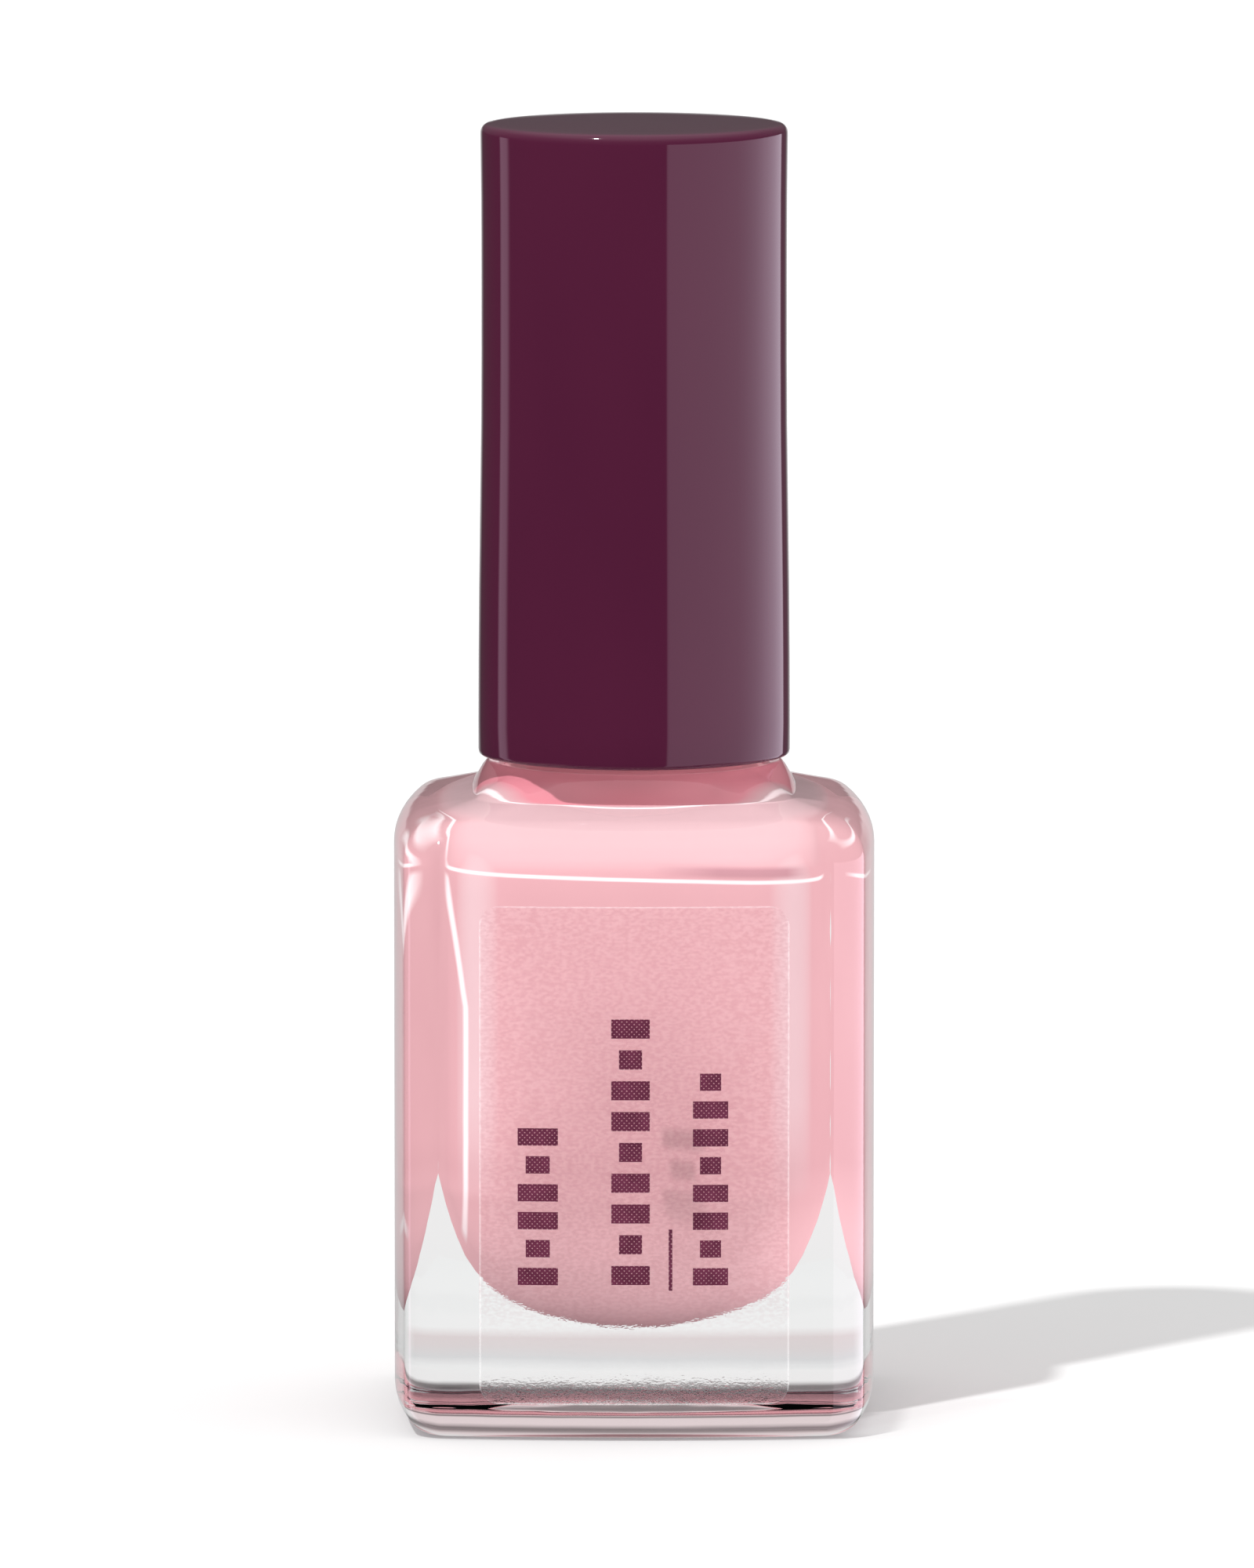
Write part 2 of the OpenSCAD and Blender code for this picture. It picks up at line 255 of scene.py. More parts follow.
def close_to(tree, value, middle, half):
    """1 where the value is at the middle, falling to 0 at `half` away from it."""
    away = math_node(tree, "ABSOLUTE", math_node(tree, "SUBTRACT", value, middle))
    return mapped(tree, away, 1.0, 0.0, half * 0.35, half)


def tone_over(tree, under, colour, share):
    """Lays a colour over another one, as far as `share` says."""
    mix = add_node(tree, "ShaderNodeMix", data_type="RGBA")
    tree.links.new(share, mix.inputs[0])
    tree.links.new(under, mix.inputs[6])
    mix.inputs[7].default_value = (*colour, 1)
    return mix.outputs[2]

# %% [markdown]
# ## The plan of the bottle
# Seen from above the bottle is a square whose four sides bulge a little and whose corners are round.
# Each side is a wide circle arc and each corner a small one that touches both neighbours.
# Every ring has the same number of points in the same order, so rings of different sizes join neatly.

# %% The bulging square
BODY_HALF_W, BODY_HALF_D = 14.5, 14.0
SIDE_BULGE, CORNER_R = 1.1, 2.4
SIDE_STEPS, CORNER_STEPS = 12, 16


def bulge_radius(half, rise):
    return (half * half + rise * rise) / (2 * rise)


def bulged_square(hx, hy, bulge, r):
    ry, rx = bulge_radius(hx, bulge), bulge_radius(hy, bulge)
    cx, cy = hx - r, hy - r
    for _ in range(8):
        cy = math.sqrt((ry - r) ** 2 - cx * cx) - (ry - hy)
        cx = math.sqrt((rx - r) ** 2 - cy * cy) - (rx - hx)
    a_low = math.atan2(cy, cx + rx - hx)
    a_high = math.pi / 2 - math.atan2(cx, cy + ry - hy)
    right = [(hx - rx + rx * math.cos(a), rx * math.sin(a))
             for a in np.linspace(0, a_low, SIDE_STEPS, endpoint=False)]
    corner = [(cx + r * math.cos(a), cy + r * math.sin(a))
              for a in np.linspace(a_low, a_high, CORNER_STEPS, endpoint=False)]
    back = [(ry * math.cos(a), hy - ry + ry * math.sin(a))
            for a in np.linspace(a_high, math.pi / 2, SIDE_STEPS, endpoint=False)]
    quarter = np.array(right + corner + back)
    flip = np.array([[-1.0, 1.0]])
    mirrored = quarter[::-1] * flip
    top = np.array([[0.0, hy]])
    left = np.array([[-hx, 0.0]])
    upper = np.vstack([quarter, top, mirrored[:-1], left])
    return np.vstack([upper, -upper[1:-1]])


plan = bulged_square(BODY_HALF_W, BODY_HALF_D, SIDE_BULGE, CORNER_R)
PLAN_ANGLES = np.arctan2(plan[:, 1], plan[:, 0])
print("points in one ring:", len(plan))


def plan_ring(hx, hy, bulge, r, z):
    points = bulged_square(hx, hy, bulge, r)
    return np.column_stack([points, np.full(len(points), float(z))])


def round_ring(radius, z):
    return np.column_stack([radius * np.cos(PLAN_ANGLES), radius * np.sin(PLAN_ANGLES),
                            np.full(len(PLAN_ANGLES), float(z))])


def between(ring_a, ring_b, share):
    return ring_a * (1 - share) + ring_b * share

# %% [markdown]
# ## The screw thread
# A real glass thread is one smooth ridge that winds round the neck and fades out at both ends.
# The ridge is pushed out of the ring's own radius, so it never leaves a seam.

# %% Ridge of a thread
THREAD_PITCH = 2.117
RUN_OUT = 0.09  # share of a turn over which the ridge fades at each end


def ridge(angles, z, foot_z, turns, root_t, crest_t, depth):
    """How far the ridge stands out at these angles and this height."""
    out = np.zeros(len(angles))
    around = np.mod(angles, 2 * math.pi) / (2 * math.pi)
    for lap in range(int(turns) + 2):
        along = around + lap
        centre = foot_z + THREAD_PITCH * along
        off = np.abs(z - centre)
        side = np.clip((root_t / 2 - off) / ((root_t - crest_t) / 2), 0, 1)
        fade = np.clip(np.minimum(along, turns - along) / RUN_OUT, 0, 1)
        out = np.maximum(out, depth * (side * side * (3 - 2 * side)) * fade)
    return out

# %% [markdown]
# ## The glass
# The bottle is thick moulded glass: a heavy foot with a shallow dish under it, straight bulging walls,
# a rolled shoulder, a low collar that turns from square to round, and a threaded neck.
# One closed skin follows the outside and then the inside, because light only bends properly
# when it enters and leaves a closed wall.

# %% Outside of the glass
WALL_TOP = 34.72
HEEL_R, SHOULDER_R, SHOULDER_SLOPE = 2.0, 2.6, 0.2
BODY_H = 37.9
COLLAR_HALF, COLLAR_TOP_R, COLLAR_CORNER, COLLAR_BULGE = 9.75, 8.95, 3.4, 0.35
NECK_R, BORE_R = 6.6, 3.7
RECESS_H, FOOT_FLAT = 0.5, 0.25
CORNER_TIGHTENS, CORNER_LEAST = 0.75, 0.8
CORNER_OPENS, OPENS_OVER = 0.9, 2.1
DISH = ((3, RECESS_H), (6, RECESS_H), (8.8, RECESS_H), (9.3, 0.46), (9.55, 0.34), (9.66, 0.18), (9.78, 0.05),
        (10.0, 0.0))
COLLAR_RISE = ((1.0, 37.9), (0.97, 37.93), (0.93, 38.02), (0.87, 38.18), (0.72, 38.5), (0.5, 38.85),
               (0.25, 39.2), (0.0, 39.46))
COLLAR_LIP = ((8.87, 39.53), (8.7, 39.59), (8.5, 39.6), (7.3, 39.6), (6.9, 39.68), (6.68, 39.9))


def body_ring(inset, z, corner=None):
    grow = (BODY_HALF_W - inset) / BODY_HALF_W
    return plan_ring(BODY_HALF_W - inset, BODY_HALF_D - inset, SIDE_BULGE * grow,
                     corner if corner else max(CORNER_R - inset * CORNER_TIGHTENS, CORNER_LEAST), z)


outside = [np.array([[0.0, 0.0, RECESS_H]])]
outside += [round_ring(radius, z) for radius, z in DISH]
outside.append(body_ring(HEEL_R + FOOT_FLAT, 0.0))
for a in np.radians(np.linspace(0, 90, 10)):
    outside.append(body_ring(HEEL_R * (1 - math.sin(a)), HEEL_R * (1 - math.cos(a))))
for z in np.linspace(HEEL_R, WALL_TOP, 14)[1:]:
    outside.append(body_ring(0, z))
slope_angle = math.atan(SHOULDER_SLOPE)
for a in np.linspace(0, math.pi / 2 - slope_angle, 12)[1:]:
    inset = SHOULDER_R * (1 - math.cos(a))
    corner = CORNER_R + CORNER_OPENS * (inset / OPENS_OVER) ** 2
    outside.append(body_ring(inset, WALL_TOP + SHOULDER_R * math.sin(a), corner))
edge_inset = SHOULDER_R * (1 - math.sin(slope_angle))
edge_z = WALL_TOP + SHOULDER_R * math.cos(slope_angle)
foot_ring = plan_ring(COLLAR_HALF, COLLAR_HALF, COLLAR_BULGE, COLLAR_CORNER, BODY_H)
shoulder_end = body_ring(edge_inset, edge_z, CORNER_R + CORNER_OPENS)
for share in (0.3, 0.6, 0.85, 0.96):
    outside.append(between(shoulder_end, foot_ring, share))
for pinch, z in COLLAR_RISE:
    foot_part = plan_ring(COLLAR_HALF, COLLAR_HALF, COLLAR_BULGE, COLLAR_CORNER, z)
    outside.append(between(round_ring(COLLAR_TOP_R, z), foot_part, pinch))
outside += [round_ring(radius, z) for radius, z in COLLAR_LIP]
print("outside rings:", len(outside))

# %% Neck and rim of the glass
NECK_THREAD_FOOT, NECK_THREAD_TURNS = 47.19, 1.5
NECK_RIDGE = (1.05, 0.5, 0.75)  # width at its root, width at its crest, height


def neck_ring(z):
    stand = ridge(PLAN_ANGLES, z, NECK_THREAD_FOOT, NECK_THREAD_TURNS, *NECK_RIDGE)
    ring = round_ring(1.0, z)
    ring[:, :2] *= (NECK_R + stand)[:, None]
    return ring


neck_wall = [neck_ring(z) for z in (40.4, 42.0, 44.0, 45.8, *np.arange(46.3, 51.45, 0.11))]
rim = [round_ring(r, z) for r, z in ((6.57, 51.6), (6.45, 51.8), (6.2, 51.95), (5.9, 52.0), (4.2, 52.0),
                                    (3.9, 51.95), (3.74, 51.8), (BORE_R, 51.5))]

# %% [markdown]
# The inside of the glass is softer than the outside: the floor is a shallow bowl that turns up where
# it meets the walls, and the roof rises gently into the neck.

# %% Inside of the glass
WALL = 3.4
IN_HALF_W, IN_HALF_D = BODY_HALF_W - WALL, BODY_HALF_D - WALL
GLASS_BASE, FLOOR_RISE, FLOOR_TURN_UP = 5.7, 3.6, 5.5
IN_BULGE, IN_CORNER_R = SIDE_BULGE * 0.8, 5.0
FUNNEL = ((4.05, 40.85), (4.7, 40.2), (5.6, 39.4), (6.2, 38.6))
ROOF_R = 6.35
ROOF = ((0.04, 37.6), (0.13, 37.0), (0.3, 36.35), (0.55, 35.65), (0.8, 35.05), (0.92, 34.72), (0.965, 34.45),
        (0.99, 34.05), (1.0, 33.5))
WALL_STEPS = (32.5, 29.0, 25.0, 21.0, 17.5)
BOWL_STEPS = (1.0, 0.985, 0.965, 0.94, 0.91, 0.87, 0.82, 0.76, 0.68, 0.58, 0.47, 0.35, 0.22, 0.1)


def inside_rings(grow):
    """The room in the bottle from the neck down to the floor, `grow` mm bigger all round."""
    rings = [round_ring(BORE_R + grow, z) for z in (46.0, 41.6)]
    rings += [round_ring(radius + grow, z) for radius, z in FUNNEL]
    wide = plan_ring(IN_HALF_W + grow, IN_HALF_D + grow, IN_BULGE, IN_CORNER_R + grow, 0)
    for share, z in ROOF:
        ring = between(round_ring(ROOF_R + grow, 0), wide, share)
        ring[:, 2] = z + grow
        rings.append(ring)
    for z in WALL_STEPS:
        ring = wide.copy()
        ring[:, 2] = z
        rings.append(ring)
    for share in BOWL_STEPS:
        soft = between(round_ring(IN_HALF_W + grow, 0), wide, share ** 2)
        soft[:, :2] *= share
        soft[:, 2] = GLASS_BASE + FLOOR_RISE * share ** 2 + FLOOR_TURN_UP * share ** 9 - grow
        rings.append(soft)
    rings.append(np.array([[0.0, 0.0, GLASS_BASE - grow]]))
    return rings


glass = skin_of_rings("bottle_glass", outside + neck_wall + rim + inside_rings(0.0))
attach(glass, "bottle")
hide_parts("glass_bottle")
print("glass faces:", len(glass.data.polygons))

# %% [markdown]
# ## How clear glass is made
# The shader is plain glass with the bend of soda-lime glass and a breath of grey-green.
# Moulded glass is never optically flat, so a slow, shallow ripple bends the view a little.
# Light that falls on the lacquer passes straight through instead of being bent, which keeps the
# picture clean: for rays that carry light and not the view, the glass is simply transparent.
# The thick foot of such a bottle gathers light in level bands. They are painted here, by height, on
# the front of the foot, from rose at the heel through charcoal and white up to silver.

# %% Clear glass
def let_light_through(tree, seen, light_tint):
    """Mixes the shader the eye sees with a transparent one for rays that only carry light."""
    path = add_node(tree, "ShaderNodeLightPath")
    either = math_node(tree, "MAXIMUM", path.outputs["Is Shadow Ray"], path.outputs["Is Diffuse Ray"])
    clear = add_node(tree, "ShaderNodeBsdfTransparent")
    if isinstance(light_tint, tuple):
        clear.inputs["Color"].default_value = (*light_tint, 1)
    else:
        tree.links.new(light_tint, clear.inputs["Color"])
    mix = add_node(tree, "ShaderNodeMixShader")
    tree.links.new(either, mix.inputs[0])
    tree.links.new(seen, mix.inputs[1])
    tree.links.new(clear.outputs[0], mix.inputs[2])
    tree.links.new(mix.outputs[0], tree.nodes["Material Output"].inputs["Surface"])


FOOT_TOP, FOOT_WAVE, FOOT_FADE = 6.6, 0.5, 0.3
GLASS_IOR, GLASS_TONE = 1.52, (0.985, 0.992, 0.99)
RIPPLE_H = 0.00012
FOOT_BANDS = (
    (0.0, (0.72, 0.50, 0.52)), (0.34, (0.78, 0.58, 0.60)), (0.40, (0.17, 0.16, 0.17)),
    (0.48, (0.13, 0.12, 0.13)), (0.54, grey(0.93)), (0.66, grey(0.97)), (0.76, (0.62, 0.62, 0.64)),
    (0.86, (0.66, 0.57, 0.58)), (1.0, (0.70, 0.56, 0.57)))
FRONT_FROM, FRONT_FULL = -11.6, -12.6
SHADE_LOW, SHADE_HIGH, SHADE_OVER = (0.50, 0.49, 0.50), (0.97, 0.975, 0.975), 2.5


def clear_glass():
    finish, tree, shader = new_finish("clear_glass")
    shader.inputs["Roughness"].default_value = 0.0
    shader.inputs["IOR"].default_value = GLASS_IOR
    shader.inputs["Transmission Weight"].default_value = 1.0
    ripple = noise_at(tree, 160.0, detail=2.0)
    tree.links.new(bump_from(tree, ripple, RIPPLE_H, 0.5), shader.inputs["Normal"])
    _, depth, height = place_in_mm(tree)
    uneven = noise_at(tree, 420.0, detail=3.0, stretch=(0.35, 1.0, 1.0))
    wave = math_node(tree, "MULTIPLY", uneven, FOOT_WAVE)
    wavy = mapped(tree, math_node(tree, "ADD", height, wave), 0.0, 1.0,
                  FOOT_WAVE / 2, FOOT_TOP + FOOT_WAVE / 2)
    bands = colour_bands(tree, wavy, FOOT_BANDS)
    in_front = mapped(tree, depth, 1.0, 0.0, FRONT_FULL, FRONT_FROM)
    low_down = mapped(tree, height, 1.0, 0.0, FOOT_TOP - FOOT_FADE, FOOT_TOP + FOOT_FADE)
    in_foot = math_node(tree, "MULTIPLY", low_down, in_front)
    body = add_node(tree, "ShaderNodeMix", data_type="RGBA")
    tree.links.new(in_foot, body.inputs[0])
    body.inputs[6].default_value = (*GLASS_TONE, 1)
    tree.links.new(bands, body.inputs[7])
    tree.links.new(body.outputs[2], shader.inputs["Base Color"])
    rising = mapped(tree, height, 0.0, 1.0, GLASS_BASE - SHADE_OVER, GLASS_BASE)
    passed = two_tones(tree, rising, SHADE_LOW, SHADE_HIGH, 0.0, 1.0)
    let_light_through(tree, shader.outputs[0], passed)
    return finish


glass.data.materials.append(clear_glass())

# %% [markdown]
# ## The lacquer
# The lacquer fills the room in the glass. It is an opaque pink creme, so it is drawn as a solid core.
# The core reaches a hair's breadth into the glass: that way no false film of air shines between the two.
# In the real bottle, bent light draws on such a core. Here that light and shade are painted into the finish,
# set by the piece's own x, y and z: painted light lines along its upper edge, down its left side and round the
# foot of the collar, a band of painted shade in deeper rose at the right, a cooler tone of painted light on
# the shoulder, painted shade that deepens the collar, painted light on the upright corners and a lighter
# painted tone low in the bowl.

# %% Lacquer core
FILL_Z, FILL_R = 40.5, 4.42
INTO_GLASS = 0.03


def lacquer_rings():
    rings = [r for r in inside_rings(INTO_GLASS) if np.atleast_2d(r)[0, 2] < FILL_Z - 0.1]
    surface = [round_ring(FILL_R, FILL_Z), round_ring(FILL_R - 0.25, FILL_Z - 0.12),
               round_ring(FILL_R - 0.8, FILL_Z - 0.16), np.array([[0.0, 0.0, FILL_Z - 0.17]])]
    return rings[::-1] + surface


lacquer = skin_of_rings("pink_lacquer_core", lacquer_rings())
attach(lacquer, "bottle")
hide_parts("lacquer_fill")

# %% Lacquer finish
PINK_DARK, PINK_LIGHT = (0.665, 0.348, 0.380), (0.695, 0.372, 0.403)
# Painted light and shade of the lacquer: a lighter tone low in the bowl, a cooler tone for the light on the
# shoulder and a deeper painted shade on the collar.
LOW_PAINTED_LIGHT, SHOULDER_PAINTED_LIGHT, COLLAR_PAINTED_SHADE = (0.96, 0.55, 0.59), (0.60, 0.385, 0.41), (0.68, 0.225, 0.275)
# Painted light on the upright corners, a painted shade band of deeper rose, and the colour of the painted
# light lines.
CORNER_PAINTED_LIGHT, ROSE_PAINTED_SHADE, LINE_PAINTED_LIGHT = (0.80, 0.70, 0.73), (0.50, 0.25, 0.285), (1.0, 0.80, 0.825)
LOW_FULL, LOW_GONE = 8.0, 16.0
SHOULDER_FROM, SHOULDER_FULL, COLLAR_FROM, COLLAR_FULL = 34.0, 35.0, 36.15, 36.5
EDGE_LINE_Z, EDGE_TILT, EDGE_LINE_W = 33.6, 0.028, 0.15
SIDE_LINE_X, SIDE_SLANT, SIDE_SHIFT, SIDE_LINE_W, SIDE_LINE_FADE = -11.0, 0.14, 1.1, 0.2, 0.3
COLLAR_LINE_Z, COLLAR_LINE_W = 36.12, 0.07
ROSE_ABOVE, ROSE_W = 0.55, 0.45
CORNER_REACH, CORNER_GLEAM_W = IN_HALF_W + IN_HALF_D - IN_CORNER_R * (2 - math.sqrt(2)), 0.9
CORNER_SHARE = 0.45


def pink_lacquer():
    finish, tree, shader = new_finish("pink_lacquer")
    cloud = noise_at(tree, 90.0, detail=2.0)
    x, y, z = place_in_mm(tree)
    colour = two_tones(tree, cloud, PINK_DARK, PINK_LIGHT)
    # Painted light: lighter low in the bowl, fading out higher up.
    colour = tone_over(tree, colour, LOW_PAINTED_LIGHT, mapped(tree, z, 1.0, 0.0, LOW_FULL, LOW_GONE))
    # Painted light: a cooler tone over the shoulder, where light falls on it from above.
    colour = tone_over(tree, colour, SHOULDER_PAINTED_LIGHT, mapped(tree, z, 0.0, 1.0, SHOULDER_FROM, SHOULDER_FULL))
    # Painted shade: a deeper tone on the collar, under the cap.
    colour = tone_over(tree, colour, COLLAR_PAINTED_SHADE, mapped(tree, z, 0.0, 1.0, COLLAR_FROM, COLLAR_FULL))

    # Painted light: paler upright corners of the core.
    outward = math_node(tree, "SUBTRACT", math_node(tree, "ABSOLUTE", x), y)
    in_corner = close_to(tree, outward, CORNER_REACH, CORNER_GLEAM_W)
    upright = mapped(tree, z, 0.0, CORNER_SHARE, 13.0, 20.0)
    colour = tone_over(tree, colour, CORNER_PAINTED_LIGHT, math_node(tree, "MULTIPLY", in_corner, upright))

    # Painted light lines: along the upper edge in front, down the left side and round the foot of the collar.
    in_front = mapped(tree, y, 1.0, 0.0, -6.0, -4.0)
    tilted = math_node(tree, "ADD", z, math_node(tree, "MULTIPLY", x, EDGE_TILT))
    upper_line = math_node(tree, "MULTIPLY", close_to(tree, tilted, EDGE_LINE_Z, EDGE_LINE_W), in_front)
    slant = math_node(tree, "MULTIPLY", math_node(tree, "SUBTRACT", EDGE_LINE_Z, z), SIDE_SLANT)
    from_left = math_node(tree, "SUBTRACT", x, math_node(tree, "MINIMUM", slant, SIDE_SHIFT))
    below = mapped(tree, z, 1.0, 0.0, EDGE_LINE_Z - SIDE_LINE_FADE, EDGE_LINE_Z)
    left_line = math_node(tree, "MULTIPLY", close_to(tree, from_left, SIDE_LINE_X, SIDE_LINE_W), below)

    # Painted shade: a band of deeper rose at the right, just above the upper line.
    rose_from, rose_to = mapped(tree, x, 0.0, 1.0, 1.0, 5.0), mapped(tree, x, 1.0, 0.0, 9.0, 10.4)
    taper = math_node(tree, "MULTIPLY", rose_from, rose_to)
    rose = math_node(tree, "MULTIPLY", close_to(tree, tilted, EDGE_LINE_Z + ROSE_ABOVE, ROSE_W), taper)
    colour = tone_over(tree, colour, ROSE_PAINTED_SHADE, math_node(tree, "MULTIPLY", rose, in_front))

    lines = math_node(tree, "MAXIMUM", upper_line, math_node(tree, "MULTIPLY", left_line, in_front))
    lines = math_node(tree, "MAXIMUM", lines, close_to(tree, z, COLLAR_LINE_Z, COLLAR_LINE_W))
    colour = tone_over(tree, colour, LINE_PAINTED_LIGHT, lines)
    tree.links.new(colour, shader.inputs["Base Color"])
    shader.inputs["Roughness"].default_value = 0.5
    shader.inputs["Specular IOR Level"].default_value = 0.0
    fleck = noise_at(tree, 1400.0, detail=1.0)
    tree.links.new(bump_from(tree, fleck, 0.00001, 0.2), shader.inputs["Normal"])
    return finish


lacquer.data.materials.append(pink_lacquer())
print("lacquer faces:", len(lacquer.data.polygons))

# %% [markdown]
# ## The front label
# The label is a clear plastic film. It is hard to see, apart from its thin outline and a fine
# orange-peel ripple that makes the lacquer behind it shimmer. It is a real sheet with two faces and
# an edge, bent to the bulge of the glass. Its cut edge is a little milky, which draws the outline.
# The ripple is a real bump, and its shimmer is partly painted: a mottle of painted shade in the film's
# colour and in the light it lets through, which fades out over the clear foot.

# %% Film that follows the front
FILM_W, FILM_H, FILM_LOW, FILM_CORNER = 18.5, 30.0, 2.3, 1.2
FILM_BACK, FILM_FACE, FILM_COLUMNS = 0.01, 0.11, 24
FRONT_R = bulge_radius(BODY_HALF_W, SIDE_BULGE)


def front_point(x, z, off):
    """The point `off` mm in front of the bulging glass."""
    angle = math.asin(x / FRONT_R)
    return (x + off * math.sin(angle), -(BODY_HALF_D - FRONT_R + (FRONT_R + off) * math.cos(angle)), z)


def film_sheet(name, w, h, r, low, off_low, off_high):
    """Two gridded faces joined by an edge: strips across the width keep the bend of the glass smooth."""
    rows = []
    half_w = w / 2
    corner_z = [low + r * (1 - math.cos(a)) for a in np.radians(np.linspace(0, 90, 7))]
    middle_z = list(np.linspace(low + r, low + h - r, 8)[1:-1])
    heights = corner_z + middle_z + [2 * low + h - z for z in corner_z[::-1]]
    columns = FILM_COLUMNS
    for z in heights:
        from_end = min(z - low, low + h - z)
        reach = half_w if from_end >= r else half_w - r + math.sqrt(max(r * r - (r - from_end) ** 2, 0))
        rows.append([(reach * (2 * i / columns - 1), z) for i in range(columns + 1)])
    verts, faces = [], []
    n = columns + 1
    for off in (off_low, off_high):
        for row in rows:
            verts += [front_point(x, z, off) for x, z in row]
    back = len(rows) * n
    for j in range(len(rows) - 1):
        for i in range(columns):
            a, b = j * n + i, (j + 1) * n + i
            faces.append((back + a, back + a + 1, back + b + 1, back + b))
            faces.append((a, b, b + 1, a + 1))
    for j in range(len(rows) - 1):
        left, right = j * n, j * n + columns
        faces.append((left, back + left, back + left + n, left + n))
        faces.append((right, right + n, back + right + n, back + right))
    last = (len(rows) - 1) * n
    for i in range(columns):
        faces.append((i, i + 1, back + i + 1, back + i))
        faces.append((last + i, back + last + i, back + last + i + 1, last + i + 1))
    sheet = new_piece(name, np.array(verts) * MM, faces)
    sheet.data.set_sharp_from_angle(angle=math.radians(40.0))
    return sheet


film = film_sheet("front_film", FILM_W, FILM_H, FILM_CORNER, FILM_LOW, FILM_BACK, FILM_FACE)
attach(film, "bottle")
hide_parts("front_label")

# %% Film finish
CUT_EDGE, CUT_CLEAR = 0.12, 0.88
FILM_IOR, PEEL_H = 1.25, 0.00002
# Painted shade of the ripple's mottle: in the film's colour, in the light it lets through, and a near-white
# tone over the foot where it fades.
PEEL_PAINTED_SHADE, PEEL_SHADE, FOOT_TONE = (0.93, 0.87, 0.88), (0.92, 0.90, 0.905), (0.99, 0.99, 0.99)


def label_film():
    finish, tree, shader = new_finish("label_film")
    shader.inputs["Roughness"].default_value = 0.0
    shader.inputs["IOR"].default_value = FILM_IOR
    peel = noise_at(tree, 3000.0, detail=1.5, roughness=0.55, stretch=(1.0, 1.0, 1.9))
    tree.links.new(bump_from(tree, peel, PEEL_H, 1.0), shader.inputs["Normal"])
    x, _, z = place_in_mm(tree)
    over_foot = mapped(tree, z, 1.0, 0.0, 6.0, 9.0)
    # Painted shade: the ripple's mottle darkens the film's colour a little, fading out over the foot.
    mottle = two_tones(tree, peel, PEEL_PAINTED_SHADE, grey(1.0), 0.40, 0.60)
    tree.links.new(tone_over(tree, mottle, FOOT_TONE, over_foot), shader.inputs["Base Color"])
    cut_side = close_to(tree, math_node(tree, "ABSOLUTE", x), FILM_W / 2, CUT_EDGE)
    from_middle = math_node(tree, "SUBTRACT", z, FILM_LOW + FILM_H / 2)
    cut_end = close_to(tree, math_node(tree, "ABSOLUTE", from_middle), FILM_H / 2, CUT_EDGE)
    cut = math_node(tree, "MAXIMUM", cut_side, cut_end)
    tree.links.new(mapped(tree, cut, 1.0, CUT_CLEAR, 0.0, 1.0), shader.inputs["Transmission Weight"])
    # Painted light and shade: the light let through carries the same mottle onto the lacquer.
    tint = two_tones(tree, peel, PEEL_SHADE, grey(1.0), 0.40, 0.60)
    let_light_through(tree, shader.outputs[0], tint)
    return finish


film.data.materials.append(label_film())
print("film faces:", len(film.data.polygons))

# %% [markdown]
# ## The print
# Three rows of plain marks run up the film, with a thin rule between two of them. The ink is
# burgundy, laid down through a screen of fine dots, so tiny points of bare film show in it.

# %% Print marks
ROW_FOOT = 9.2
INK_LOW, INK_HIGH = 0.12, 0.15
PRINT_ROWS = ((-5.75, 2.4, 10.1, 6), (-0.22, 2.3, 16.7, 9), (4.55, 2.1, 13.4, 8))
RULE_X, RULE_W, RULE_L = 2.165, 0.22, 3.7
NARROW_MARK, MARK_SHARE = 0.6, 0.62


def mark_block(x, z, w, h, verts, faces):
    """One mark: a thin plate of ink, split across its width so that it follows the bulge."""
    pieces = 4
    start = len(verts)
    for off in (INK_LOW, INK_HIGH):
        for side in (-1, 1):
            across = [x + w * (i / pieces - 0.5) for i in range(pieces + 1)]
            verts += [front_point(along, z + side * h / 2, off) for along in across]
    n = pieces + 1
    for i in range(pieces):
        a = start + i
        faces.append((a, a + n, a + n + 1, a + 1))
        faces.append((a + 2 * n, a + 2 * n + 1, a + 3 * n + 1, a + 3 * n))
        faces.append((a, a + 1, a + 2 * n + 1, a + 2 * n))
        faces.append((a + n, a + 3 * n, a + 3 * n + 1, a + n + 1))
    for end, turn in ((start, 1), (start + pieces, -1)):
        quad = (end, end + 2 * n, end + 3 * n, end + n)
        faces.append(quad if turn == 1 else quad[::-1])


ink_verts, ink_faces = [], []
for x, wide, length, count in PRINT_ROWS:
    step = length / count
    for i in range(count):
        mark_w = wide * (NARROW_MARK if i % 3 == 1 else 1.0)
        mark_block(x, ROW_FOOT + step * (i + 0.5), mark_w, step * MARK_SHARE, ink_verts, ink_faces)
mark_block(RULE_X, ROW_FOOT + RULE_L / 2, RULE_W, RULE_L, ink_verts, ink_faces)
ink = new_piece("print_marks", np.array(ink_verts) * MM, ink_faces, smooth=False)
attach(ink, "bottle")
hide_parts("label_print")

# %% Ink finish
DOT_PITCH = 0.21 * MM
INK_DARK, INK_LIGHT = (0.085, 0.008, 0.03), (0.125, 0.016, 0.048)


